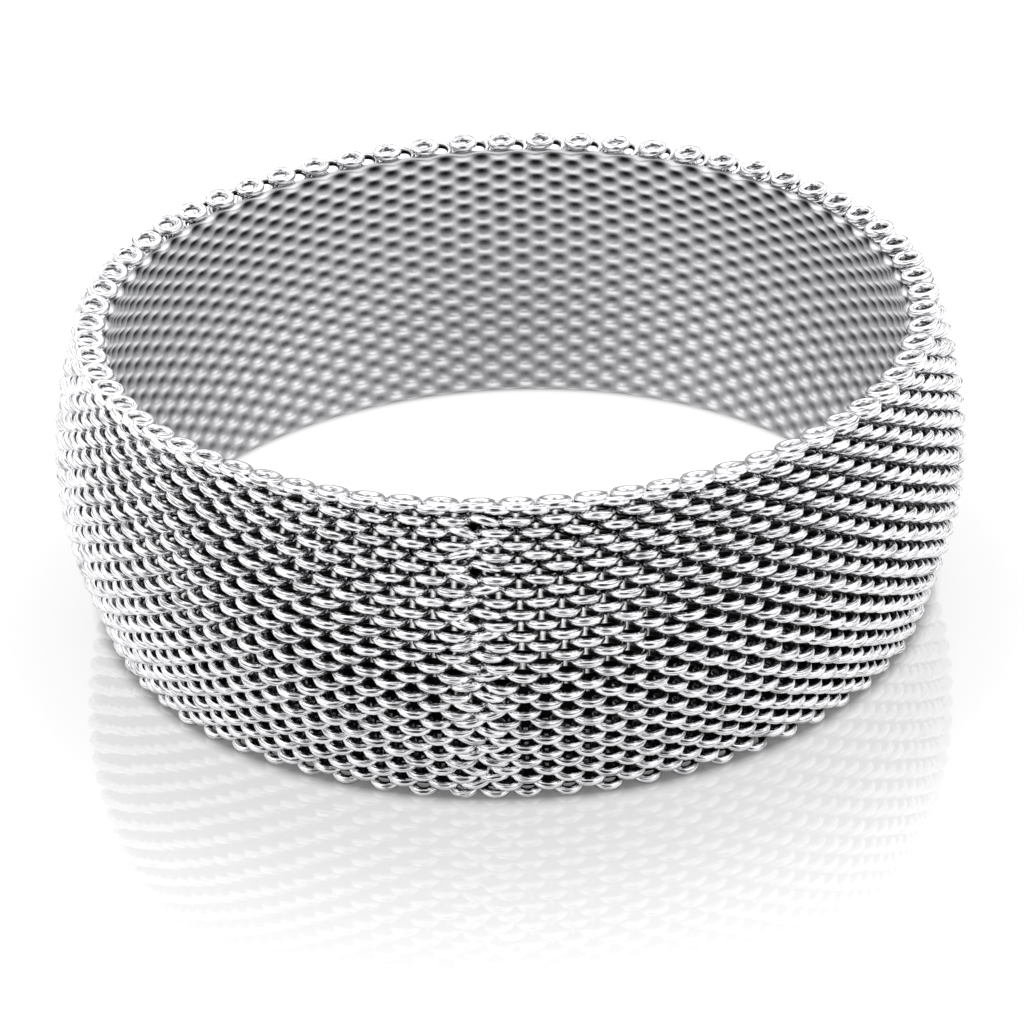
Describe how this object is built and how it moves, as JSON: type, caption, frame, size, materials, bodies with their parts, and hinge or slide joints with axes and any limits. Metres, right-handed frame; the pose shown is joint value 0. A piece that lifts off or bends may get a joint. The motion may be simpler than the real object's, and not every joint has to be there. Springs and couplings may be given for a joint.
{
  "type": "mesh bracelet",
  "caption": "Closed bracelet of woven steel wire rings, a wide band that bulges at half its height, with a scalloped ring edge above and below.",
  "frame": {"origin": "centre of the circle on which the lower edge rests, at the height of the surface below it", "axes": "+Z along the bracelet's axis, from the lower edge to the upper edge; the join of the mesh faces -Y"},
  "size_m": [0.07, 0.0699, 0.024],
  "materials": {
    "polished_steel_wire": "drawn stainless steel wire, polished bright"
  },
  "bodies": {
    "root": {"mesh_band": "polished_steel_wire", "upper_edge_rings": "polished_steel_wire", "lower_edge_rings": "polished_steel_wire"}
  },
  "joints": []
}
